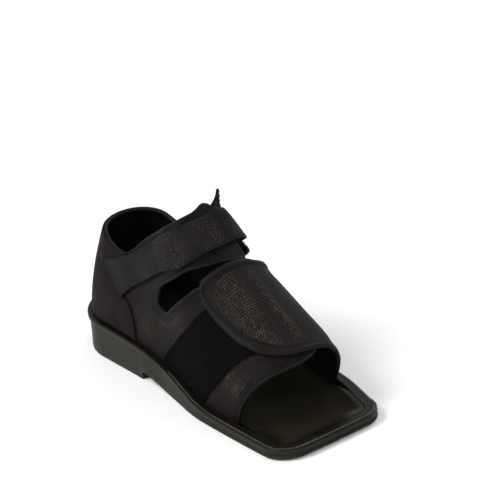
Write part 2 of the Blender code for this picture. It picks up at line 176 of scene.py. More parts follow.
HEEL_CENTRE = HEEL_STRETCH * HEEL_RADIUS - LENGTH / 2
BLOCK_END = HEEL_BLOCK - LENGTH / 2

# Plan outline: along as a share of LENGTH from the heel, half widths as shares of half of BALL_WIDTH.
PLAN = (
    # along, lateral, medial
    (0.150, 0.764, 0.764),
    (0.415, 0.800, 0.745),
    (0.642, 0.982, 1.000),
    (0.771, 1.000, 0.955),
    (0.932, 1.012, 0.775),
)
# Rim: height as a share of the fall from HEEL_RIM to TOE_RIM, flat band as a share of RIM_BAND.
RIM = (
    # along, height, band
    (0.000, 1.000, 0.42),
    (0.150, 0.950, 0.45),
    (0.297, 0.888, 0.44),
    (0.500, 0.435, 0.60),
    (0.703, 0.023, 0.76),
    (1.000, 0.000, 1.00),
)
# Last: top of the rib as a share of INSTEP_HEIGHT, then the powers that square its side and its top.
LAST = (
    # along, top, side_power, top_power
    (0.150, 2.140, 5.60, 1.00),
    (0.273, 1.880, 4.20, 1.00),
    (0.347, 1.520, 2.20, 1.00),
    (0.415, 1.290, 0.95, 0.95),
    (0.473, 1.150, 0.64, 0.90),
    (0.534, 1.010, 0.66, 0.90),
    (0.602, 0.872, 0.92, 0.88),
    (0.703, 0.700, 0.84, 0.85),
    (0.805, 0.547, 0.70, 0.80),
    (0.873, 0.444, 0.75, 0.80),
    (0.941, 0.290, 0.75, 0.80),
)
print("shoe length", LENGTH)

# %% [markdown]
# ## The last
# A shoemaker builds a shoe round a last, a solid foot of wood. Here the last is a function. It takes a place
# on the seat line (along) and a height that is measured up the side (girth), and returns a point in space.
# Every panel can so be drawn flat, like a paper pattern, and then be wrapped round the foot.


# %% Define the last
def table_value(table, column, at):
    """Smooth value of a table's column, with no overshoot, for an array of shares."""
    rows = np.array(table, float)
    x, y = rows[:, 0], rows[:, column]
    step = np.diff(x)
    slope = np.diff(y) / step
    tangent = np.empty(len(x))
    tangent[0], tangent[-1] = slope[0], slope[-1]
    same = slope[:-1] * slope[1:] > 0
    mean = 2 * slope[:-1] * slope[1:] / np.where(same, slope[:-1] + slope[1:], 1)
    tangent[1:-1] = np.where(same, mean, 0)
    at = np.clip(at, x[0], x[-1])
    k = np.clip(np.searchsorted(x, at) - 1, 0, len(x) - 2)
    t = (at - x[k]) / step[k]
    start = (1 + 2 * t) * (1 - t) ** 2 * y[k] + t * (1 - t) ** 2 * step[k] * tangent[k]
    end = t * t * (3 - 2 * t) * y[k + 1] + t * t * (t - 1) * step[k] * tangent[k + 1]
    return start + end


def ramp(value, low, high):
    """Smooth step from 0 at low to 1 at high."""
    t = np.clip((value - low) / (high - low), 0, 1)
    return t * t * (3 - 2 * t)


def share(x):
    return np.asarray(x, float) / LENGTH + 0.5


def half_width(x, side):
    """Half width of the sole's plan; side is -1 on the lateral side and 1 on the medial side."""
    lateral = table_value(PLAN, 1, share(x))
    medial = table_value(PLAN, 2, share(x))
    heel = HEEL_WIDTH / BALL_WIDTH / PLAN[0][1]
    fade = np.clip((PLAN[1][0] - share(x)) / (PLAN[1][0] - PLAN[0][0]), 0, 1)
    return np.where(np.asarray(side) < 0, lateral, medial) * (1 + (heel - 1) * fade) * BALL_WIDTH / 2


def rim_height(x):
    return TOE_RIM + (HEEL_RIM - TOE_RIM) * table_value(RIM, 1, share(x))


def rim_band(x):
    return RIM_BAND * table_value(RIM, 2, share(x))


def seat_radius():
    return HEEL_RADIUS - float(rim_band(HEEL_CENTRE)) - GAP


def rib_point(along, angle):
    """Point of the last: along on the seat line, angle in degrees from the seat on along's side."""
    side = np.where(along < 0, -1.0, 1.0)
    run = np.abs(along)
    turn = np.radians(angle)
    radius = seat_radius()
    arc = radius * math.pi / 2
    heel = run < arc
    x = HEEL_CENTRE + np.maximum(run - arc, 0)
    top = INSTEP_HEIGHT * table_value(LAST, 1, share(x))
    side_power = table_value(LAST, 2, share(x))
    top_power = table_value(LAST, 3, share(x))
    narrow = np.sign(np.cos(turn)) * np.abs(np.cos(turn)) ** side_power
    round_heel = np.clip(run / radius, 0, math.pi / 2)
    back = HEEL_STRETCH * radius * np.cos(round_heel)
    seat = rim_height(np.where(heel, HEEL_CENTRE - back, x)) - SEAT_DEPTH
    rise = (top - rim_height(x)) * np.abs(np.sin(turn)) ** top_power
    flat = half_width(x, np.sign(narrow) * side) - rim_band(x) - GAP
    width = np.where(heel, radius * np.sin(round_heel), flat)
    lean = HEEL_LEAN * rise * np.clip(1.5 - run / (2 * arc), 0, 1)
    x = np.where(heel, HEEL_CENTRE - back * np.abs(narrow), x) + lean
    return np.stack([x, side * width * narrow, seat + rise], -1)


sample = rib_point(np.array([-0.15]), np.array([90.0]))[0]
print("top of the last at the instep:", [round(float(v), 3) for v in sample])

# %% Wrap pattern points round the last
RIB_SAMPLES = 72
NUDGE_ALONG = 0.0005
NUDGE_ANGLE = 0.4


def rib_angle(along, girth):
    """Angle at a girth above the seat, from each rib's own length."""
    angles = np.linspace(0, 180, RIB_SAMPLES)
    ribs = rib_point(along[:, None] + 0 * angles, angles + 0 * along[:, None])
    steps = np.linalg.norm(np.diff(ribs, axis=1), axis=2)
    lengths = np.concatenate([np.zeros((len(along), 1)), np.cumsum(steps, axis=1)], axis=1)
    return np.array([np.interp(g, row, angles) for g, row in zip(girth, lengths)])


def lifted(along, angle, drop, lift):
    """Points of the last, lowered by drop and moved outwards by lift."""
    ahead = rib_point(along + NUDGE_ALONG, angle) - rib_point(along - NUDGE_ALONG, angle)
    upward = rib_point(along, angle + NUDGE_ANGLE) - rib_point(along, np.maximum(angle - NUDGE_ANGLE, 0))
    normal = -np.cross(ahead, upward)
    normal /= np.linalg.norm(normal, axis=-1, keepdims=True)
    normal[drop < 0, 2] = 0
    points = rib_point(along, angle) + normal * lift[:, None]
    points[:, 2] += drop
    return points


def wrap(along, girth, lift):
    """World points of pattern points; below the seat a wall goes straight down into the sole."""
    angle = rib_angle(along, np.maximum(girth, 0))
    return lifted(along, angle, np.minimum(girth, 0), lift)


print("wrapped:", np.round(wrap(np.array([-0.15]), np.array([0.05]), np.array([0.0])), 3).tolist())

# %% [markdown]
# ## The paper patterns
# Each panel's outline is a short table. Along is a share of the shoe's length and girth a share of the collar's
# height, so that the tables fit any size. A smooth curve runs through the points, and corners are where two
# tables meet.

# %% Draw the patterns
COLLAR_LINE = (
    # along, girth
    (0.000, 1.000),
    (0.085, 0.990),
    (0.150, 0.958),
    (0.203, 0.897),
    (0.240, 0.866),
    (0.275, 0.868),
    (0.305, 0.935),
    (0.330, 1.020),
)
LATERAL_WING = (
    # along, girth
    (0.330, 1.020),
    (0.363, 1.126),
    (0.437, 1.339),
    (0.492, 1.518),
    (0.506, 1.680),
    (0.494, 1.880),
    (0.504, 1.950),
    (0.545, 1.880),
    (0.600, 1.770),
    (0.630, 1.660),
    (0.628, 1.480),
    (0.610, 1.280),
    (0.565, 1.110),
    (0.520, 0.965),
    (0.483, 0.860),
    (0.466, 0.780),
    (0.460, 0.700),
    (0.457, 0.636),
    (0.460, 0.600),
    (0.471, 0.579),
    (0.490, 0.581),
    (0.506, 0.605),
    (0.545, 0.750),
    (0.590, 0.915),
    (0.624, 1.080),
    (0.650, 1.210),
    (0.670, 1.330),
)
MEDIAL_WING = (
    # along, girth
    (0.330, 1.020),
    (0.363, 1.126),
    (0.405, 1.225),
    (0.437, 1.330),
    (0.456, 1.430),
    (0.463, 1.525),
    (0.474, 1.525),
    (0.492, 1.440),
    (0.508, 1.372),
    (0.540, 1.305),
    (0.574, 1.240),
    (0.588, 1.165),
    (0.577, 1.080),
    (0.552, 0.985),
    (0.502, 0.840),
    (0.474, 0.690),
    (0.464, 0.610),
    (0.474, 0.560),
    (0.495, 0.575),
    (0.503, 0.590),
)
FOREFOOT_END = (
    # along, girth
    (0.670, 1.330),
    (0.700, 1.480),
    (0.780, 1.420),
    (0.860, 1.300),
)
FOREFOOT_FRONT = (
    # along, girth
    (0.860, 1.300),
    (0.895, 1.197),
    (0.915, 0.960),
    (0.915, 0.744),
    (0.898, 0.550),
    (0.871, 0.383),
    (0.841, 0.196),
    (0.820, 0.000),
)
FLAP_FRONT = (
    # along, girth
    (0.820, 0.000),
    (0.846, 0.150),
    (0.868, 0.290),
    (0.882, 0.410),
    (0.890, 0.513),
    (0.896, 0.627),
    (0.899, 0.741),
    (0.898, 0.863),
    (0.892, 1.024),
    (0.875, 1.201),
    (0.847, 1.375),
    (0.807, 1.521),
    (0.759, 1.647),
    (0.705, 1.777),
    (0.660, 1.850),
    (0.637, 1.860),
    (0.626, 1.820),
    (0.631, 1.700),
    (0.637, 1.550),
    (0.638, 1.395),
    (0.638, 1.270),
    (0.635, 1.160),
    (0.610, 0.970),
    (0.569, 0.797),
    (0.530, 0.670),
    (0.503, 0.590),
)
LOOP_PATCH = (
    # along, girth
    (0.476, 0.040),
    (0.498, 0.170),
    (0.530, 0.310),
    (0.613, 0.650),
    (0.655, 0.900),
    (0.690, 1.060),
)
LOOP_PATCH_FRONT = (
    # along, girth
    (0.850, 0.800),
    (0.818, 0.640),
    (0.786, 0.500),
    (0.757, 0.360),
    (0.715, 0.190),
    (0.680, 0.030),
)
COUNTER_FRONT = (
    # along, girth
    (0.357, 0.030),
    (0.346, 0.240),
    (0.320, 0.390),
    (0.290, 0.440),
    (0.284, 0.620),
    (0.288, 0.850),
)
EDGE_STEP = 0.0022


def sized(line, side):
    """A pattern line in metres on one side of the shoe."""
    return [(side * along * LENGTH, girth * COLLAR_HEIGHT) for along, girth in line]


def curve_through(points, step=EDGE_STEP):
    """Even points on a smooth curve through pattern points, both ends kept."""
    p = np.array(points, float)
    p = np.concatenate([[2 * p[0] - p[1]], p, [2 * p[-1] - p[-2]]])
    out = [p[1]]
    for a, b, c, d in zip(p, p[1:], p[2:], p[3:]):
        count = max(1, round(float(np.linalg.norm(c - b)) / step))
        for t in np.linspace(0, 1, count + 1)[1:]:
            cubic = 2 * b + (c - a) * t + (2 * a - 5 * b + 4 * c - d) * t ** 2 + (3 * b - a - 3 * c + d) * t ** 3
            out.append(cubic / 2)
    return out


def outline_of(runs):
    """One closed outline from smooth runs that meet at corners."""
    loop = []
    for run in runs:
        loop += curve_through(run)[:-1]
    return loop


def at_base(along, side):
    """Foot of the upper's wall, just off the floor of the sole's well."""
    return (side * along * LENGTH, SEAT_DEPTH + GAP - WELL_DEPTH)


print("flap edge points:", len(curve_through(sized(FLAP_FRONT, 1))))

# %% [markdown]
# ## Creases
# Worn cloth is never quite even. The flap has two long soft ridges where the fastener lies beneath it, and the
# quarter has shallow folds that run out from the cut-out. Each crease is a line on the pattern with a width and
# a depth, and it lifts all layers together, so that none cuts the next.

# %% Place the creases
# Creases: ends on the pattern (along as a share of LENGTH, girth as a share of COLLAR_HEIGHT), width, height.
QUARTER_CREASES = (
    # along, girth, to_along, to_girth, width, height
    (-0.150, 0.700, -0.225, 0.560, 0.0032, -0.0014),
    (-0.380, 0.120, -0.440, 0.480, 0.0060, 0.0006),
    (-0.500, 0.520, -0.560, 0.200, 0.0060, -0.0006),
    (-0.560, 0.600, -0.640, 0.880, 0.0050, 0.0006),
    (-0.740, 0.150, -0.700, 0.520, 0.0090, 0.0006),
    (-0.800, 0.250, -0.850, 0.700, 0.0060, -0.0005),
    (0.150, 0.760, 0.240, 0.600, 0.0036, -0.0012),
    (0.330, 0.150, 0.430, 0.420, 0.0060, 0.0006),
)
FLAP_CREASES = (
    # along, girth, to_along, to_girth, width, height
    (0.665, 1.310, 0.885, 0.890, 0.0028, 0.0015),
    (0.700, 1.200, 0.850, 0.930, 0.0040, -0.0006),
    (0.650, 1.560, 0.800, 1.270, 0.0045, 0.0008),
    (0.560, 0.480, 0.700, 0.640, 0.0070, 0.0007),
    (0.720, 0.250, 0.840, 0.420, 0.0070, -0.0006),
)


def along_lines(table, along, girth):
    """Sum of soft lines at pattern points: each one fades to its sides and to its ends."""
    total = np.zeros(len(along))
    point = np.stack([along, girth], 1)
    for x1, y1, x2, y2, width, height in table:
        start = np.array([x1 * LENGTH, y1 * COLLAR_HEIGHT])
        run = np.array([x2 * LENGTH, y2 * COLLAR_HEIGHT]) - start
        t = np.clip((point - start) @ run / (run @ run), 0, 1)
        away = np.linalg.norm(point - start - t[:, None] * run, axis=1)
        fade = np.sin(np.pi * np.clip(t, 0.02, 0.98)) ** 0.5
        total += height * fade * np.exp(-((away / width) ** 2))
    return total


# Places of painted sheen, where the threads of the mesh are painted bright as if they caught the light: the last column
# is the strength.
QUARTER_SHEEN = (
    # along, girth, to_along, to_girth, width, strength
    (-0.760, 0.450, -0.860, 0.330, 0.0085, 1.0),
    (-0.470, 0.430, -0.590, 0.740, 0.0060, 0.8),
    (-0.380, 0.300, -0.440, 0.200, 0.0110, 0.5),
    (0.380, 0.300, 0.440, 0.200, 0.0110, 0.5),
)
FLAP_SHEEN = (
    # along, girth, to_along, to_girth, width, strength
    (0.650, 1.640, 0.830, 1.330, 0.0090, 1.0),
    (0.800, 1.400, 0.880, 1.050, 0.0050, 0.7),
    (0.665, 1.310, 0.885, 0.890, 0.0032, 1.0),
    (0.650, 1.560, 0.800, 1.270, 0.0035, 0.7),
    (0.560, 0.480, 0.700, 0.640, 0.0100, 0.6),
)


def creased(creases, along, girth):
    """Height of the creases, which end above the seat."""
    return along_lines(creases, along, girth) * ramp(girth, 0, 0.008)


print("creases:", len(QUARTER_CREASES) + len(FLAP_CREASES))

# %% [markdown]
# ## From flat panel to wall
# A panel is made as a maker makes it. Its outline is filled with one face, hemmed by an inset, and cut along
# a square grid into small tiles. Solidify turns the sheet into a slab. Then every point goes to its place on
# the last: its height in the slab says how deep in the wall it lies.

# %% Cut a panel and give it a thickness
TILE = 0.0025
HEM = 0.0007
PINCH = 0.30


def cut_panel(outline):
    """A flat slab one unit thick: filled, hemmed and cut into tiles."""
    slab = bmesh.new()
    slab.faces.new([slab.verts.new((x, y, 0)) for x, y in outline])
    slab.normal_update()
    bmesh.ops.inset_region(slab, faces=slab.faces[:], thickness=HEM, use_even_offset=True, use_boundary=True)
    edge = np.array(outline)
    for axis in range(2):
        normal = Vector((1 - axis, axis, 0))
        for line in range(math.ceil(edge[:, axis].min() / TILE), math.ceil(edge[:, axis].max() / TILE)):
            everything = slab.verts[:] + slab.edges[:] + slab.faces[:]
            bmesh.ops.bisect_plane(slab, geom=everything, dist=1e-7, plane_co=normal * line * TILE, plane_no=normal)
    bmesh.ops.solidify(slab, geom=slab.faces[:], thickness=1)
    return slab


def distance_to(points, line):
    """Shortest distance from each point to a line of many points."""
    line = np.array(line, float)
    best = np.full(len(points), np.inf)
    for start, end in zip(line, line[1:]):
        run = end - start
        t = np.clip((points - start) @ run / max(run @ run, 1e-12), 0, 1)
        best = np.minimum(best, np.linalg.norm(points - start - t[:, None] * run, axis=1))
    return best


test_slab = cut_panel([(0, 0), (0.03, 0), (0.03, 0.01), (0.01, 0.01), (0.01, 0.02), (0, 0.02)])
print("test slab faces:", len(test_slab.faces))
test_slab.free()


# %% Turn a slab into a piece of the shoe
def finish_piece(name, shape, looks, nodes, crisp=50):
    """A closed bmesh becomes a named piece that rides on the shoe and stands for solids."""
    bmesh.ops.recalc_face_normals(shape, faces=shape.faces[:])
    if shape.calc_volume(signed=True) < 0:
        bmesh.ops.reverse_faces(shape, faces=shape.faces[:])
    data = bpy.data.meshes.new(name)
    shape.to_mesh(data)
    shape.free()
    for shade in looks:
        data.materials.append(shade)
    data.shade_smooth()
    data.set_sharp_from_angle(angle=math.radians(crisp))
    piece = bpy.data.objects.new(name, data)
    bpy.context.scene.collection.objects.link(piece)
    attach(piece, "root")
    if nodes:
        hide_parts(*nodes)
    print(name, len(data.polygons), "faces")
    return piece


def write_pattern(shape, flat):
    """Keep the flat pattern as the piece's UV map, in metres."""
    layer = shape.loops.layers.uv.new("pattern")
    for face in shape.faces:
        for corner in face.loops:
            corner[layer].uv = flat[corner.vert.index]


def wrap_panel(name, runs, outer, wall, looks, nodes, bands=(), satin=None, painted_sheen=()):
    """A pattern panel with its wall on the last; its cloth may read bands, satin places and places of painted sheen."""
    outline = outline_of(runs)
    shape = cut_panel(outline)
    shape.verts.ensure_lookup_table()
    shape.verts.index_update()
    raw = np.array([v.co for v in shape.verts])
    flat = raw[:, :2]
    depth = np.abs(raw[:, 2])
    rim = distance_to(flat, outline + outline[:1])
    pinch = PINCH * wall * (1 - ramp(rim, 0, HEM))
    lift = outer(flat[:, 0], flat[:, 1]) - depth * wall + pinch * (2 * depth - 1)
    places = wrap(flat[:, 0], flat[:, 1], lift)
    band = shape.verts.layers.float.new("band")
    gloss = shape.verts.layers.float.new("satin")
    sheen = shape.verts.layers.float.new("painted_sheen")
    satins = satin(flat[:, 0], flat[:, 1]) if satin else np.zeros(len(flat))
    inward = np.min([distance_to(flat, line) for line in bands] or [np.full(len(flat), 1.0)], axis=0)
    # Painted sheen: how strongly the threads at each point are painted bright as if lit.
    sheen_amount = along_lines(painted_sheen, flat[:, 0], flat[:, 1])
    for vert, place, *values in zip(shape.verts, places, inward, satins, sheen_amount):
        vert.co = place
        vert[band], vert[gloss], vert[sheen] = values
    for face in shape.faces:
        face.material_index = int(min(depth[v.index] for v in face.verts) > 0.5) * (len(looks) - 1)
    write_pattern(shape, flat)
    return finish_piece(name, shape, looks, nodes)


print("panel tools ready")

# %% [markdown]
# ## Edge tape
# The free edges of the flap, the collar and the cut-out are bound: a narrow tape is folded over the edge and
# sewn down. On the pattern that is a flat tube round the edge, so one grid is bent into a ring at each point of
# the edge. The grid's own rows and columns say which point is which.

# %% Sweep a section along an edge
def ring_section(width, height, overhang, count=12):
    """Rounded section of a folded tape: (inward, outward) offsets from the edge."""
    turns = np.linspace(0, 2 * math.pi, count, endpoint=False)
    power = 0.7
    across = np.sign(np.cos(turns)) * np.abs(np.cos(turns)) ** power
    out = np.sign(np.sin(turns)) * np.abs(np.sin(turns)) ** power
    return np.stack([width / 2 - overhang + across * width / 2, out * height / 2], 1)


def grid_tube(rows, columns):
    """A grid whose columns close to a tube, and each point's row and column."""
    shape = bmesh.new()
    bmesh.ops.create_grid(shape, x_segments=rows - 1, y_segments=columns, size=0.5)
    shape.verts.ensure_lookup_table()
    flat = np.array([v.co for v in shape.verts])
    row = np.round((flat[:, 0] + 0.5) * (rows - 1)).astype(int)
    column = np.round((flat[:, 1] + 0.5) * columns).astype(int)
    return shape, row, column


def close_tube(shape, columns):
    """Weld a tube's seam and cap its ends."""
    bmesh.ops.remove_doubles(shape, verts=shape.verts[:], dist=1e-7)
    bmesh.ops.holes_fill(shape, edges=shape.edges[:], sides=columns + 1)


def edge_tape(name, edge, lift, wall, looks, width=0.0034, over=0.0007, overhang=0.0006):
    """A folded tape round a pattern edge; the panel lies on the left of the edge's direction."""
    path = np.array(edge, float)
    ahead = np.gradient(path, axis=0)
    ahead /= np.linalg.norm(ahead, axis=1, keepdims=True)
    inward = np.stack([-ahead[:, 1], ahead[:, 0]], 1)
    section = ring_section(width, wall + 2 * over, overhang)
    shape, row, column = grid_tube(len(path), len(section))
    offset = section[column % len(section)]
    flat = path[row] + inward[row] * offset[:, :1]
    middle = lift(flat[:, 0], flat[:, 1]) - wall / 2
    places = wrap(flat[:, 0], flat[:, 1], middle + offset[:, 1])
    for vert, place in zip(shape.verts, places):
        vert.co = place
    shape.verts.index_update()
    walk = np.concatenate([[0], np.cumsum(np.linalg.norm(np.diff(path, axis=0), axis=1))])
    write_pattern(shape, np.stack([walk[row], offset[:, 0] + offset[:, 1]], 1))
    close_tube(shape, len(section))
    return finish_piece(name, shape, looks, ())


print("tape section points:", len(ring_section(0.0034, 0.0036, 0.0006)))

# %% [markdown]
# ## Thread
# A seam is a row of short thread stitches that sink into the cloth. Each one is a stretched icosphere of twenty
# faces, which is enough at half a millimetre.

# %% Sew a row of stitches
STITCH_PITCH = 0.0032
STITCH_SHARE = 0.72
THREAD = 0.00028


def even_points(line, pitch):
    """Points at an even pitch along a line."""
    line = np.array(line, float)
    walk = np.concatenate([[0], np.cumsum(np.linalg.norm(np.diff(line, axis=0), axis=1))])
    marks = np.arange(pitch / 2, walk[-1], pitch)
    return np.stack([np.interp(marks, walk, line[:, 0]), np.interp(marks, walk, line[:, 1])], 1), marks


def sew(name, seams, place, looks):
    """Rows of stitches; place(flat, out) gives world points at a height above the cloth."""
    shape = bmesh.new()
    for seam in seams:
        starts, marks = even_points(seam, STITCH_PITCH)
        ends, marks = even_points(seam, STITCH_PITCH)
        ahead = np.gradient(starts, axis=0)
        ahead /= np.linalg.norm(ahead, axis=1, keepdims=True)
        ends = starts + ahead * STITCH_PITCH * STITCH_SHARE
        first, last, above = place(starts, 0.0), place(ends, 0.0), place(starts, 0.001)
        for a, b, c in zip(first, last, above):
            run = Vector(b - a)
            out = Vector(c - a).normalized()
            across = out.cross(run).normalized()
            turn = Matrix((run.normalized(), across, out)).transposed().to_4x4()
            size = Matrix.Diagonal((run.length / 2, THREAD, THREAD, 1))
            spot = Matrix.Translation(Vector(a + b) / 2 + out * THREAD * 0.3)
            bmesh.ops.create_icosphere(shape, subdivisions=1, radius=1, matrix=spot @ turn @ size)
    return finish_piece(name, shape, looks, (), crisp=80)


print("stitches per 100 mm:", round(0.1 / STITCH_PITCH))

# %% [markdown]
# ## Cloth and rubber
# All colours are near black, so each finish is told apart by its relief and gloss. The mesh is a square net
# with small holes, drawn on the pattern map in real millimetres. The smooth parts have a faint nap, the loop
# pile swallows light, and the rubber is satin with a fine skin.
# Some light is painted into the colours: a sheen on the mesh's threads, shade in its holes, a highlight on the rim's
# ribs and shade along the footbed's border.

# %% Node helpers
def new_finish(name):
    """An empty node material, its principled shader and a short way to add nodes."""
    shade = bpy.data.materials.new(name)
    shade.use_nodes = True
    tree = shade.node_tree
    return shade, tree, tree.nodes["Principled BSDF"]


def node(tree, kind, **inputs):
    """Add a node; a socket is set to a value or linked to an output."""
    made = tree.nodes.new(kind)
    for key, value in inputs.items():
        if key in ("operation", "blend_type", "data_type", "attribute_name", "uv_map", "interpolation_type"):
            setattr(made, key, value)
            continue
        socket = made.inputs[int(key[1:])] if key[0] == "i" and key[1:].isdigit() else made.inputs[key]
        if isinstance(value, bpy.types.NodeSocket):
            tree.links.new(value, socket)
        else:
            socket.default_value = value
    return made


def math_node(tree, operation, first, second=0.0):
    return node(tree, "ShaderNodeMath", operation=operation, i0=first, i1=second).outputs[0]


def blend_colour(tree, amount, dark, light):
    """Mix two colours by a factor output."""
    mix = node(tree, "ShaderNodeMix", data_type="RGBA", i0=amount)
    for socket, value in ((mix.inputs[6], dark), (mix.inputs[7], light)):
        if isinstance(value, bpy.types.NodeSocket):
            tree.links.new(value, socket)
        else:
            socket.default_value = (*value, 1)
    return mix.outputs[2]


def object_noise(tree, scale, detail=4.0):
    place = node(tree, "ShaderNodeTexCoord").outputs["Object"]
    return node(tree, "ShaderNodeTexNoise", Vector=place, Scale=scale, Detail=detail).outputs["Fac"]


def spread(tree, value, low, high, to_low, to_high):
    """Map a range to another one, smoothly and clamped."""
    made = node(tree, "ShaderNodeMapRange", interpolation_type="SMOOTHSTEP", i0=value, i1=low, i2=high)
    made.inputs[3].default_value = to_low
    made.inputs[4].default_value = to_high
    return made.outputs[0]


def add_bump(tree, bsdf, height, distance, strength=1.0):
    made = node(tree, "ShaderNodeBump", Height=height, Distance=distance, Strength=strength)
    tree.links.new(made.outputs[0], bsdf.inputs["Normal"])


print("node helpers ready")

# %% The mesh cloth
MESH_CELL = 0.0021
SATIN = (0.0020, 0.0036, 0.0027)


def pattern_waves(tree, cell):
    """Two waves across the pattern map, one along and one up the panel."""
    uv = node(tree, "ShaderNodeUVMap", uv_map="pattern").outputs[0]
    split = node(tree, "ShaderNodeSeparateXYZ", i0=uv)
    waves = []
    for axis in range(2):
        phase = math_node(tree, "MULTIPLY", split.outputs[axis], 2 * math.pi / cell)
        waves.append(math_node(tree, "SINE", phase))
    return waves, split


def read_mask(tree, name):
    """Read a float attribute that a panel keeps on its points."""
    return node(tree, "ShaderNodeAttribute", attribute_name=name).outputs["Fac"]


def mesh_cloth(name, thread, sheen, hole_shade, border, band_width):
    """Square mesh with holes, which turns into smooth cloth in its border and into satin on the wings; its holes hold
    painted shade and its threads a painted sheen in given places.
    """
    shade, tree, bsdf = new_finish(name)
    waves, split = pattern_waves(tree, MESH_CELL)
    crossing = math_node(tree, "ADD", waves[0], waves[1])
    blotch = spread(tree, object_noise(tree, 240.0, 5.0), 0.35, 0.65, 0.25, 1.0)
    holes = spread(tree, crossing, -0.1, 1.1, 0.0, 1.0)
    inside = spread(tree, read_mask(tree, "band"), band_width - 0.0008, band_width + 0.0004, 0.0, 1.0)
    wing = read_mask(tree, "satin")
    holes = math_node(tree, "MULTIPLY", holes, math_node(tree, "SUBTRACT", inside, wing))
    # Painted glints: a fine noise breaks the painted sheen into bright specks.
    glint = spread(tree, object_noise(tree, 1100.0, 2.0), 0.42, 0.64, 0.1, 1.0)
    sheen_amount = math_node(tree, "MULTIPLY", math_node(tree, "MULTIPLY", read_mask(tree, "painted_sheen"), blotch), glint)
    fibre = object_noise(tree, 2600.0, 2.0)
    base = blend_colour(tree, blotch, thread, tuple(1.5 * v for v in thread))
    # Painted sheen: the threads take the bright colour where they would catch the light.
    base = blend_colour(tree, sheen_amount, base, sheen)
    base = blend_colour(tree, inside, border, base)
    # Painted shade: the holes take a near-black colour, darker than the lining behind them.
    base = blend_colour(tree, holes, base, hole_shade)
    base = blend_colour(tree, wing, base, SATIN)
    tree.links.new(base, bsdf.inputs["Base Color"])
    rough = spread(tree, sheen_amount, 0.0, 1.0, 0.62, 0.45)
    rough = math_node(tree, "SUBTRACT", rough, math_node(tree, "MULTIPLY", wing, 0.14))
    tree.links.new(rough, bsdf.inputs["Roughness"])
    bsdf.inputs["Specular IOR Level"].default_value = 0.09
    ridge = math_node(tree, "MULTIPLY", holes, -1.0)
    height = math_node(tree, "ADD", ridge, math_node(tree, "MULTIPLY", fibre, 0.35))
    add_bump(tree, bsdf, height, 0.0005, 0.9)
    return shade


FABRIC = (0.0082, 0.0062, 0.0055)
# The colour of the painted sheen, a painted highlight on the threads.
FABRIC_GLINT = (0.0720, 0.0630, 0.0530)
# The dark lining seen through the holes, painted darker still as the shade inside them.
FABRIC_HOLE_SHADE = (0.0006, 0.0005, 0.0005)
BORDER = (0.0042, 0.0032, 0.0029)
quarter_cloth = mesh_cloth("quarter_mesh", FABRIC, FABRIC_GLINT, FABRIC_HOLE_SHADE, BORDER, 0.0072)
flap_cloth = mesh_cloth("flap_mesh", FABRIC, FABRIC_GLINT, FABRIC_HOLE_SHADE, BORDER, 0.0058)
print("mesh cell in mm:", MESH_CELL * 1000)


# %% The smooth cloths
def plain_cloth(name, colour, rough, nap, nap_scale, vary=1.3, shine=0.12):
    """Cloth with no open weave: a fine nap and slow changes of tone."""
    shade, tree, bsdf = new_finish(name)
    tone = spread(tree, object_noise(tree, 45.0, 5.0), 0.3, 0.7, 0.0, 1.0)
    fibre = object_noise(tree, nap_scale, 3.0)
    base = blend_colour(tree, tone, colour, tuple(vary * v for v in colour))
    fleck = spread(tree, fibre, 0.45, 0.75, 0.0, 1.0)
    base = blend_colour(tree, fleck, base, tuple(1.5 * v for v in colour))
    tree.links.new(base, bsdf.inputs["Base Color"])
    tree.links.new(spread(tree, tone, 0.0, 1.0, rough, rough - 0.08), bsdf.inputs["Roughness"])
    bsdf.inputs["Specular IOR Level"].default_value = shine
    add_bump(tree, bsdf, fibre, nap)
    return shade


tape_cloth = plain_cloth("edge_tape", (0.0042, 0.0033, 0.0030), 0.62, 0.00012, 2200.0)
counter_cloth = plain_cloth("counter_cloth", (0.0062, 0.0049, 0.0042), 0.80, 0.00006, 1500.0, shine=0.09)
lining_cloth = plain_cloth("satin_lining", (0.0022, 0.0040, 0.0032), 0.45, 0.00008, 1800.0, shine=0.1)
thread_look = plain_cloth("thread", (0.0070, 0.0057, 0.0053), 0.55, 0.00003, 4000.0)
pile_look = plain_cloth("loop_pile", (0.0024, 0.0026, 0.0022), 0.95, 0.00060, 1500.0, vary=1.2, shine=0.025)
print("smooth cloths ready")


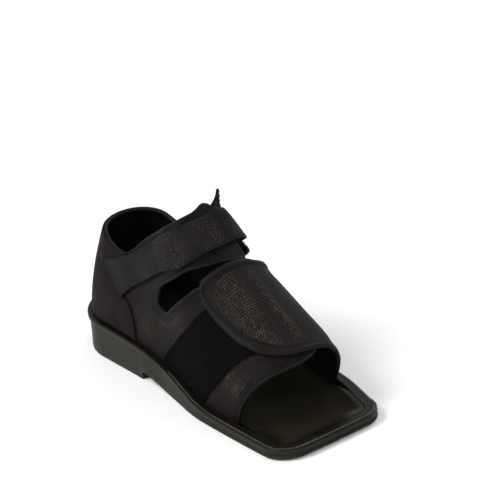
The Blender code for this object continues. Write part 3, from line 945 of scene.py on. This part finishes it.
# %% The strap cloth
def strap_cloth():
    """Brushed band with two zones where the fastener's fine loops show through."""
    shade, tree, bsdf = new_finish("strap_cloth")
    uv = node(tree, "ShaderNodeUVMap", uv_map="pattern").outputs[0]
    split = node(tree, "ShaderNodeSeparateXYZ", i0=uv)
    zones = None
    for middle, reach in STRAP_ZONES:
        away = math_node(tree, "ABSOLUTE", math_node(tree, "SUBTRACT", split.outputs[0], middle))
        zone = spread(tree, away, reach * 0.6, reach * 1.2, 1.0, 0.0)
        zones = zone if zones is None else math_node(tree, "MAXIMUM", zones, zone)
    zones = math_node(tree, "MULTIPLY", zones, spread(tree, object_noise(tree, 90.0, 3.0), 0.38, 0.62, 0.25, 1.0))
    speck = spread(tree, object_noise(tree, 1200.0, 3.0), 0.52, 0.66, 0.0, 1.0)
    fibre = object_noise(tree, 2600.0, 2.0)
    tone = spread(tree, object_noise(tree, 40.0, 4.0), 0.3, 0.7, 0.0, 1.0)
    base = blend_colour(tree, tone, (0.0044, 0.0034, 0.0030), (0.0066, 0.0052, 0.0047))
    base = blend_colour(tree, math_node(tree, "MULTIPLY", speck, zones), base, (0.066, 0.056, 0.054))
    tree.links.new(base, bsdf.inputs["Base Color"])
    tree.links.new(spread(tree, tone, 0.0, 1.0, 0.70, 0.62), bsdf.inputs["Roughness"])
    bsdf.inputs["Specular IOR Level"].default_value = 0.12
    relief = math_node(tree, "MULTIPLY", math_node(tree, "MULTIPLY", speck, zones), 2.5)
    add_bump(tree, bsdf, math_node(tree, "ADD", relief, fibre), 0.00012)
    return shade


# Zones of the strap: place and reach as shares of its length.
STRAP_ZONES = ((0.355, 0.075), (0.490, 0.032))
strap_look = strap_cloth()
print("strap zones:", len(STRAP_ZONES))


# %% The rubber
def rubber(name, colour, light, rough, shine, edge=None):
    """Satin moulded rubber: a fine skin, slow tone and a few soft scuffs; edge is the colour of painted shade along a
    border.
    """
    shade, tree, bsdf = new_finish(name)
    tone = spread(tree, object_noise(tree, 18.0, 5.0), 0.3, 0.7, 0.0, 1.0)
    skin = object_noise(tree, 1400.0, 3.0)
    scuff = spread(tree, object_noise(tree, 240.0, 8.0), 0.60, 0.78, 0.0, 1.0)
    base = blend_colour(tree, tone, colour, light)
    base = blend_colour(tree, scuff, base, tuple(1.25 * v for v in light))
    # Painted shade: towards the border the colour falls to edge.
    if edge:
        base = blend_colour(tree, read_mask(tree, "inward"), edge, base)
    tree.links.new(base, bsdf.inputs["Base Color"])
    level = math_node(tree, "ADD", spread(tree, tone, 0.0, 1.0, rough, rough + 0.08), math_node(tree, "MULTIPLY", scuff, 0.12))
    tree.links.new(level, bsdf.inputs["Roughness"])
    bsdf.inputs["Specular IOR Level"].default_value = shine
    add_bump(tree, bsdf, skin, 0.00004)
    return shade


sole_rubber = rubber("sole_rubber", (0.0128, 0.0110, 0.0074), (0.0160, 0.0139, 0.0096), 0.44, 0.13)
rim_rubber = rubber("rim_rubber", (0.0032, 0.0026, 0.0018), (0.0050, 0.0041, 0.0030), 0.30, 0.15)
# Painted highlight: the ribs are the rim's dark rubber painted far lighter, as if each caught the light.
rib_highlight = rubber("rib_highlight", (0.0450, 0.0410, 0.0340), (0.0900, 0.0840, 0.0720), 0.22, 0.50)
# The footbed's edge colour is painted shade where the footbed meets the rim's wall.
well_foam = rubber("well_foam", (0.0130, 0.0108, 0.0064), (0.0165, 0.0140, 0.0086), 0.34, 0.20,
                   edge=(0.0034, 0.0027, 0.0018))
print("materials:", len(bpy.data.materials))

# %% [markdown]
# ## The sole
# A sole is poured into a mould, so it is one skin: bottom, side wall, rounded lip, flat rim and the well that
# takes the foot. A grid wraps round the plan as a ring, once for each level of the profile, and the two open
# ends are bridged from side to side. The tread bars under it are inset strips of that bottom.

# %% Lay out the plan of the sole
HEEL_STEPS = 26
BLOCK_STEPS = 12
SIDE_STEPS = 66
CORNER_STEPS = 12
FRONT_STEPS = 8


def toe_shift(x, y):
    """Forward shift of a plan point: the toe bows and its medial corner lies further back."""
    forward = min(max((x - BLOCK_END) / (LENGTH / 2 - BLOCK_END), 0), 1)
    across = 2 * y / BALL_WIDTH
    return (forward ** 6) * (TOE_BOW * (1 - across ** 2) - TOE_SKEW * (1 + across) / 2)


def half_ring(inset, side):
    """Plan points from the heel's back to the toe's middle, set in by inset(x)."""
    points = []
    radius = HEEL_RADIUS - inset(HEEL_CENTRE)
    for k in range(HEEL_STEPS):
        turn = math.pi / 2 * k / HEEL_STEPS
        points.append((HEEL_CENTRE - HEEL_STRETCH * radius * math.cos(turn), side * radius * math.sin(turn)))
    toe = LENGTH / 2 - TOE_BOW - inset(LENGTH / 2)
    corner = max(TOE_CORNER - inset(LENGTH / 2), 0.003)
    stations = list(np.linspace(HEEL_CENTRE, BLOCK_END, BLOCK_STEPS))
    stations += list(np.linspace(BLOCK_END + BREAST, toe - corner, SIDE_STEPS))
    for x in stations:
        points.append((x, side * (float(half_width(x, side)) - inset(x))))
    middle = abs(points[-1][1]) - corner
    for k in range(1, CORNER_STEPS + 1):
        turn = math.pi / 2 * k / CORNER_STEPS
        points.append((toe - corner + corner * math.sin(turn), side * (middle + corner * math.cos(turn))))
    for k in range(1, FRONT_STEPS + 1):
        points.append((toe, side * middle * (1 - k / FRONT_STEPS)))
    return [(x + toe_shift(x, y), y) for x, y in points]


def plan_ring(inset, height):
    """Closed loop round the sole: lateral half forwards, medial half back."""
    plan = half_ring(inset, -1) + half_ring(inset, 1)[-2:0:-1]
    return [(x, y, float(height(x))) for x, y in plan]


print("points round the sole:", len(plan_ring(lambda x: 0.0, rim_height)))


# %% Loft the levels of a moulded piece
def bottom_height(x):
    """Underside of the sole: flat heel block, lifted arch, flat ball and toe spring."""
    if x <= BLOCK_END + BREAST / 2:
        return 0.0
    arch = min((x - BLOCK_END) / ARCH_LENGTH, 1)
    spring = max((x - LENGTH / 2 + SPRING_LENGTH) / SPRING_LENGTH, 0)
    return ARCH_LIFT * (1 + math.cos(math.pi * arch)) / 2 + TOE_SPRING * spring ** 2


def loft_levels(levels):
    """A grid bent into rings, one for each level; returns the bmesh with both ends open."""
    rings = [plan_ring(inset, height) for inset, height in levels]
    count = len(rings[0])
    shape = bmesh.new()
    bmesh.ops.create_grid(shape, x_segments=len(rings) - 1, y_segments=count, size=0.5)
    for vert in shape.verts:
        level = round((vert.co.x + 0.5) * (len(rings) - 1))
        spot = round((vert.co.y + 0.5) * count)
        vert.co = rings[level][spot % count]
    bmesh.ops.remove_doubles(shape, verts=shape.verts[:], dist=1e-7)
    return shape, rings


def close_end(shape, ring):
    """Fill one open end of a loft with a face and split it into strips from side to side."""
    places = {tuple(round(c, 6) for c in v.co): v for v in shape.verts if v.is_boundary}
    loop = [places[tuple(round(c, 6) for c in Vector(p))] for p in ring]
    border = [shape.edges.get(pair) for pair in zip(loop, loop[1:] + loop[:1])]
    bmesh.ops.holes_fill(shape, edges=border, sides=len(ring))
    for k in range(1, len(loop) // 2):
        left, right = loop[k], loop[-k]
        shared = [f for f in left.link_faces if right in f.verts[:]]
        if shared and not shape.edges.get((left, right)):
            bmesh.utils.face_split(shared[0], left, right)
    return [f for f in shape.faces if all(v in loop for v in f.verts)]


print("loft tools ready")

# %% Model the outsole
SOLE_EDGE = 0.0012
TREAD_DEPTH = 0.0012
TREAD_MARGIN = 0.007
SIDE_BELLY = 0.0005


def heel_taper(x):
    """Draught of the heel block's side, which fades out over the arch."""
    return HEEL_TAPER * min(max((BLOCK_END + ARCH_LENGTH - x) / HEEL_BLOCK, 0), 1)


def quarter_turn(steps):
    """Shares of a rounded edge: (across, up) from the flat to the upright."""
    return [(1 - math.sin(t), 1 - math.cos(t)) for t in np.linspace(0, math.pi / 2, steps + 1)]


levels = []
for across, rise in quarter_turn(4):
    levels.append((
        lambda x, a=across: heel_taper(x) + SOLE_EDGE * a,
        lambda x, r=rise: bottom_height(x) + SOLE_EDGE * r,
    ))
for part_up in (0.2, 0.45, 0.7, 0.9):
    levels.append((
        lambda x, p=part_up: heel_taper(x) * (1 - p) + RIM_LIP * p ** 2 + SIDE_BELLY * math.sin(math.pi * p),
        lambda x, p=part_up: bottom_height(x) + SOLE_EDGE + (rim_height(x) - LIP_DEPTH - RIM_LIP - bottom_height(x) - SOLE_EDGE) * p,
    ))
levels.append((lambda x: RIM_LIP * 1.15, lambda x: rim_height(x) - LIP_DEPTH - RIM_LIP * 0.9))
for across, rise in quarter_turn(4)[1:]:
    levels.append((
        lambda x, a=across: RIM_LIP * a,
        lambda x, r=rise: rim_height(x) - LIP_DEPTH - RIM_LIP * 0.8 + RIM_LIP * 0.8 * r,
    ))
for across, rise in quarter_turn(4)[::-1]:
    levels.append((
        lambda x, a=across: RIM_LIP * a,
        lambda x, r=rise: rim_height(x) - RIM_LIP * r,
    ))
levels.append((lambda x: float(rim_band(x)) - 0.5 * SEAT_DEPTH, rim_height))
levels.append((lambda x: float(rim_band(x)), lambda x: rim_height(x) - 0.5 * SEAT_DEPTH))
levels.append((lambda x: float(rim_band(x)), lambda x: rim_height(x) - WELL_DEPTH))

sole, rings = loft_levels(levels)
bottom_faces = close_end(sole, rings[0])
close_end(sole, rings[-1])
print("sole faces:", len(sole.faces), "open edges:", sum(e.is_boundary for e in sole.edges))

# %% Press the tread into the bottom
TREAD_PITCH = 3


def is_tread(face):
    """Strips under the heel block and the forefoot, where the sole meets the ground."""
    middle = face.calc_center_median()
    on_heel = middle.x < BLOCK_END - 0.008 and middle.x > HEEL_CENTRE - 0.022
    on_ball = BLOCK_END + ARCH_LENGTH + 0.012 < middle.x < LENGTH / 2 - 0.03
    return on_heel or on_ball


strips = sorted((f for f in bottom_faces if f.is_valid and is_tread(f)), key=lambda f: f.calc_center_median().x)
grooves = strips[1::TREAD_PITCH]
bmesh.ops.recalc_face_normals(sole, faces=sole.faces[:])
bmesh.ops.inset_individual(sole, faces=grooves, thickness=0.0007, depth=-TREAD_DEPTH, use_even_offset=True)
outsole = finish_piece("outsole_rubber", sole, (sole_rubber, rim_rubber), ("outsole",), crisp=40)
for face in outsole.data.polygons:
    if face.center.z > rim_height(face.center.x) - RIM_LIP * 0.6:
        face.material_index = 1
print("grooves:", len(grooves))

# %% Model the footbed in the well
DISH_RISE = 0.0034
DISH_REACH = 0.016


def wing_front_x():
    return FLAP_FRONT[0][0] * LENGTH - seat_radius() * math.pi / 2 + HEEL_CENTRE


def bed_inset(x):
    """Room for the upper's wall, which stops short of the toe."""
    bare = min(max((x - wing_front_x()) / (2 * RIM_BAND) - 0.25, 0), 1)
    return float(rim_band(x)) + GAP + (FLAP_WALL + 2 * GAP) * (1 - bare)


def bed_height(x, inward):
    """The footbed is dished: it rises towards the rim where the toe lies bare."""
    bare = float(ramp(x, wing_front_x() - 0.01, wing_front_x() + 0.03))
    rise = DISH_RISE * float(ramp(-inward, -DISH_REACH, 0)) * (0.25 + 0.75 * bare)
    return rim_height(x) - WELL_DEPTH + GAP + 0.0012 + rise - 0.3 * GAP


bed_levels = [(bed_inset, lambda x: rim_height(x) - WELL_DEPTH + GAP)]
for inward in (0.0, 0.0015, 0.0035, 0.006, 0.009, 0.0125, 0.016, 0.022):
    bed_levels.append((lambda x, i=inward: bed_inset(x) + i, lambda x, i=inward: bed_height(x, i)))
bed, bed_rings = loft_levels(bed_levels)
close_end(bed, bed_rings[0])
close_end(bed, bed_rings[-1])
print("footbed open edges:", sum(e.is_boundary for e in bed.edges))
# The inward share fades the painted shade at the rim into the footbed's own colour.
inward = bed.verts.layers.float.new("inward")
for vert in bed.verts:
    side = -1 if vert.co.y < 0 else 1
    edge = min(float(half_width(vert.co.x, side)) - abs(vert.co.y), LENGTH / 2 - vert.co.x) - float(rim_band(vert.co.x))
    vert[inward] = float(ramp(edge, 0.002, 0.011))
footbed = finish_piece("footbed", bed, (well_foam,), ("insole",), crisp=60)

# %% [markdown]
# ## The knurled rim
# Round the forefoot a line of small ribs stands on the rim, like the stitching of a welt that has been cast in
# the rubber. Each rib is a flattened icosphere set across the line.
# Their light colour is a painted highlight on the rim's dark rubber.

# %% Set the ribs of the rim
RIB_PITCH = 0.0019
RIB_SIZE = (0.00060, 0.00085, 0.00080)
RIB_INSET = 0.0021
RIB_START = -0.012


def rim_path(inset):
    """The ribs' line: along the lateral side, round the toe and back along the medial side."""
    ring = plan_ring(lambda x: inset, rim_height)
    return np.array([p for p in ring if p[0] > RIB_START])


def set_ribs():
    path = rim_path(RIB_INSET)
    walk = np.concatenate([[0], np.cumsum(np.linalg.norm(np.diff(path, axis=0), axis=1))])
    marks = np.arange(0, walk[-1], RIB_PITCH)
    shape = bmesh.new()
    for mark in marks:
        here = Vector([np.interp(mark, walk, path[:, k]) for k in range(3)])
        there = Vector([np.interp(mark + 0.001, walk, path[:, k]) for k in range(3)])
        run = (there - here).normalized() if (there - here).length > 1e-6 else Vector((0, 1, 0))
        slant = Matrix.Rotation(0.45, 4, "Z")
        across = Vector((0, 0, 1)).cross(run).normalized()
        turn = Matrix((run, across, run.cross(across))).transposed().to_4x4()
        size = Matrix.Diagonal((*RIB_SIZE, 1))
        bmesh.ops.create_icosphere(shape, subdivisions=1, radius=1, matrix=Matrix.Translation(here) @ turn @ slant @ size)
    return finish_piece("rim_ribs", shape, (rib_highlight,), (), crisp=80)


set_ribs()

# %% [markdown]
# ## The upper
# The quarter goes round the heel and carries two ankle wings and the lateral forefoot wing. It is one panel of
# mesh with a satin lining. A smooth border runs round the cut-out and along the front.


# %% Wrap the quarter
def wing_flare(along, girth):
    """The free corner of the medial ankle wing stands away from the ankle."""
    rise = girth / COLLAR_HEIGHT
    forward = along / LENGTH
    return WING_FLARE * ramp(rise, 1.28, 1.54) * ramp(-forward, -0.520, -0.460) * (forward > 0)


def quarter_lift(along, girth):
    return wing_flare(along, girth) + creased(QUARTER_CREASES, along, girth)


lateral_front, seam = FOREFOOT_FRONT[-1], MEDIAL_WING[-1]
quarter_runs = [
    [at_base(lateral_front[0], -1), (0.0, at_base(0, 1)[1]), at_base(seam[0], 1)],
    [at_base(seam[0], 1)] + sized([seam], 1),
    sized(MEDIAL_WING[::-1], 1),
    sized(COLLAR_LINE[::-1], 1) + sized(COLLAR_LINE[1:], -1),
    sized(LATERAL_WING, -1),
    sized(FOREFOOT_END, -1),
    sized(FOREFOOT_FRONT, -1),
    sized([lateral_front], -1) + [at_base(lateral_front[0], -1)],
]
free_edge = []
for run in quarter_runs[2:7]:
    free_edge += curve_through(run)

# The border is broader behind the cut-out, and above this line the ankle wings are satin, not mesh.
SLOT_BORDER = (
    # along, girth
    ((0.437, 0.560), (0.440, 0.720)),
    ((0.425, 0.580), (0.428, 0.700)),
)
SATIN_LINE = (
    # along, girth
    (0.250, 0.330),
    (0.310, 0.440),
    (0.369, 0.590),
    (0.420, 0.690),
    (0.458, 0.740),
    (0.471, 0.880),
    (0.600, 1.250),
    (0.640, 1.500),
)


def quarter_satin(along, girth):
    """1 on the ankle wings, 0 on the mesh."""
    back, forward = SATIN_LINE[0][0], SATIN_LINE[-1][0]
    run = np.clip(np.abs(along) / LENGTH, back, forward)
    line = COLLAR_HEIGHT * table_value(SATIN_LINE, 1, run)
    return ramp(girth - line, -0.001, 0.0015) * (np.abs(along) < forward * LENGTH)


wrap_panel("quarter", quarter_runs, quarter_lift, UPPER_WALL, (quarter_cloth, lining_cloth), ("upper",),
           bands=[free_edge] + [sized(line, -1) for line in SLOT_BORDER], satin=quarter_satin,
           painted_sheen=QUARTER_SHEEN)

# %% Bind the quarter's free edges
tape_looks = (tape_cloth,)
edge_tape("quarter_tape", free_edge, quarter_lift, UPPER_WALL, tape_looks, width=0.0026, over=0.0003)

# %% [markdown]
# ## Counter and loop patch
# The counter is a stiff smooth cap over the heel. The loop patch is the dark soft field that the flap grips.

# %% Wrap the counter
def counter_lift(along, girth):
    return quarter_lift(along, girth) + GAP + COUNTER_WALL


counter_side = COUNTER_FRONT[0][0] * LENGTH
counter_top = [(along, girth - 0.004) for along, girth in COLLAR_LINE if along < COUNTER_FRONT[-1][0]]
counter_top.append(COUNTER_FRONT[-1])
counter_runs = [
    [(x, 2 * SEAT_DEPTH) for x in (-counter_side, 0, counter_side)],
    sized(COUNTER_FRONT, 1),
    sized(counter_top[::-1], 1) + sized(counter_top[1:], -1),
    sized(COUNTER_FRONT[::-1], -1),
]
wrap_panel("counter", counter_runs, counter_lift, COUNTER_WALL, (counter_cloth,), ("heel_counter",))

# %% Wrap the loop patch
PILE_WALL = 0.0008


def patch_lift(along, girth):
    return quarter_lift(along, girth) + GAP + PILE_WALL


patch_runs = [
    sized(LOOP_PATCH, -1),
    sized([LOOP_PATCH[-1], LOOP_PATCH_FRONT[0]], -1),
    sized(LOOP_PATCH_FRONT, -1),
    sized([LOOP_PATCH_FRONT[-1], LOOP_PATCH[0]], -1),
]
patch_runs = [[(along, max(girth, 2 * SEAT_DEPTH)) for along, girth in run] for run in patch_runs]
wrap_panel("loop_field", patch_runs, patch_lift, PILE_WALL, (pile_look,), ("loop_patch",))

# %% [markdown]
# ## The forefoot flap
# The flap comes up from the medial side, crosses the toes and fastens on the loop patch. It is the thickest
# cloth of the shoe, and its free edge is bound with tape.


# %% Wrap the flap
def flap_lift(along, girth):
    """The flap stands in the well, then rises over the lateral wing and over its loop patch."""
    rise = girth / COLLAR_HEIGHT
    over_wing = (FLAP_WALL + GAP) * ramp(rise, 0.08, 0.68)
    over_patch = (PATCH_WALL + 2 * GAP) * ramp(rise, 1.10, 1.55)
    return over_wing + over_patch + creased(FLAP_CREASES, along, girth)


rear = (seam[0] + 2 * GAP / LENGTH, seam[1])
flap_line = FLAP_FRONT[:-1] + (rear,)
flap_runs = [
    [at_base(rear[0], 1), at_base(FLAP_FRONT[0][0], 1)],
    [at_base(FLAP_FRONT[0][0], 1)] + sized([FLAP_FRONT[0]], 1),
    sized(flap_line, 1),
    sized([rear], 1) + [at_base(rear[0], 1)],
]
flap_edge = curve_through(sized(flap_line, 1))
wrap_panel("flap", flap_runs, flap_lift, FLAP_WALL, (flap_cloth, lining_cloth), ("forefoot_flap",),
           bands=[flap_edge], painted_sheen=FLAP_SHEEN)
edge_tape("flap_tape", flap_edge, flap_lift, FLAP_WALL, tape_looks, width=0.0042)

# %% [markdown]
# ## The ankle strap
# The strap is a plain band with cut ends. Its table gives both edges along the last, so a grid of length by
# width is all that it needs.

# %% Wrap the strap
# Ankle strap, from its lateral end to its medial end: both edges at shares of its length (station), along as a
# share of LENGTH, angle in degrees round the rib from the lateral seat, lift in thicknesses of the counter.
STRAP = (
    # station, front_along, front_angle, back_along, back_angle, lift
    (0.00, 0.288, 9.0, 0.186, 14.0, 1.0),
    (0.09, 0.346, 14.9, 0.262, 17.5, 1.0),
    (0.17, 0.389, 20.9, 0.325, 22.0, 0.8),
    (0.28, 0.488, 37.4, 0.413, 38.2, 0.3),
    (0.38, 0.566, 57.0, 0.481, 57.0, 0.0),
    (0.45, 0.593, 76.0, 0.515, 73.0, 0.0),
    (0.50, 0.597, 90.0, 0.522, 88.0, 0.0),
    (0.55, 0.588, 104.0, 0.512, 103.0, 0.6),
    (0.62, 0.566, 122.0, 0.495, 121.0, 1.2),
    (0.72, 0.492, 144.0, 0.414, 142.0, 0.6),
    (0.83, 0.393, 160.0, 0.325, 158.0, 0.8),
    (0.91, 0.345, 166.0, 0.262, 163.0, 1.0),
    (1.00, 0.300, 171.0, 0.200, 166.0, 1.0),
)
STRAP_ROWS = 150
# The lateral end is pressed flat into the counter: share of the wall that it loses, and over which share.
STRAP_END = 0.85
STRAP_FADE = 0.09
STRAP_ACROSS = (0.0, 0.025, 0.10, 0.22, 0.36, 0.50, 0.64, 0.78, 0.90, 0.975, 1.0)


def strap_place(station, across, out):
    """World points of the strap; out is measured from its outer face."""
    front_along, front_angle, back_along, back_angle, lift = (
        table_value(STRAP, column, station) for column in range(1, 6))
    along = -LENGTH * (front_along + (back_along - front_along) * across)
    angle = front_angle + (back_angle - front_angle) * across
    base = STRAP_WALL + 2 * GAP + (COUNTER_WALL + GAP) * lift
    wave = 0.0004 * np.sin(station * 31.0 + across * 2.0) * ramp(station, 0.12, 0.2)
    return lifted(along, angle, 0 * along, base + wave + out)


def make_strap():
    shape = bmesh.new()
    count = len(STRAP_ACROSS) - 1
    bmesh.ops.create_grid(shape, x_segments=STRAP_ROWS, y_segments=count, size=0.5)
    bmesh.ops.solidify(shape, geom=shape.faces[:], thickness=1)
    shape.verts.index_update()
    raw = np.array([v.co for v in shape.verts])
    station = raw[:, 0] + 0.5
    across = np.interp((raw[:, 1] + 0.5) * count, range(count + 1), STRAP_ACROSS)
    depth = np.abs(raw[:, 2])
    rim = np.minimum(np.minimum(across, 1 - across) / STRAP_ACROSS[1], np.minimum(station, 1 - station) * STRAP_ROWS)
    pinch = PINCH * STRAP_WALL * (1 - np.clip(rim, 0, 1))
    thin = STRAP_END * STRAP_WALL * (1 - ramp(station, 0, STRAP_FADE)) * (1 - depth)
    places = strap_place(station, across, -depth * STRAP_WALL + pinch * (2 * depth - 1) - thin)
    for vert, place in zip(shape.verts, places):
        vert.co = place
    write_pattern(shape, np.stack([station, across], 1))
    return finish_piece("strap", shape, (strap_look,), ("ankle_strap",))


make_strap()

# %% [markdown]
# ## Seams
# Each panel is sewn down near its edge. The rows lie a few millimetres inside the outlines above.


# %% Sew the panels
def offset_line(line, inward):
    """A line moved to its left on the pattern."""
    path = np.array(line, float)
    ahead = np.gradient(path, axis=0)
    ahead /= np.linalg.norm(ahead, axis=1, keepdims=True)
    return path + inward * np.stack([-ahead[:, 1], ahead[:, 0]], 1)


def on_cloth(lift):
    """A place function for stitches on a wrapped panel."""
    return lambda flat, out: wrap(flat[:, 0], flat[:, 1], lift(flat[:, 0], flat[:, 1]) + out)


thread_looks = (thread_look,)
sew("quarter_seams", [offset_line(free_edge, 0.0026)], lambda flat, out: on_cloth(quarter_lift)(flat, out + 0.0006),
    thread_looks)
sew("quarter_border_seams", [offset_line(free_edge, 0.0078)], on_cloth(quarter_lift), thread_looks)
sew("flap_seams", [offset_line(flap_edge, 0.0033)], lambda flat, out: on_cloth(flap_lift)(flat, out + 0.0006),
    thread_looks)
counter_seams = [offset_line(curve_through(run), 0.0022) for run in (counter_runs[1], counter_runs[3])]
sew("counter_seams", counter_seams, on_cloth(counter_lift), thread_looks)
patch_seams = [offset_line(curve_through(run), 0.0018) for run in patch_runs[:3:2]]
sew("patch_seams", patch_seams, on_cloth(patch_lift), (pile_look,))

# %% Sew the strap
def strap_stitches():
    """Two rows across the medial anchor; each row is a few short stitches between the strap's edges."""
    rows = []
    for station in (0.978, 0.988):
        steps = np.linspace(0.08, 0.92, 9)
        rows.append([(station, across) for across in steps])
    return rows


def strap_metres(flat, out):
    """Places on the strap; the across share is scaled so that stitches keep their length."""
    return strap_place(flat[:, 0], flat[:, 1] / STRAP_WIDTH, out)


STRAP_WIDTH = 0.026
strap_rows = [[(station, across * STRAP_WIDTH) for station, across in row] for row in strap_stitches()]
sew("strap_seams", strap_rows, strap_metres, thread_looks)
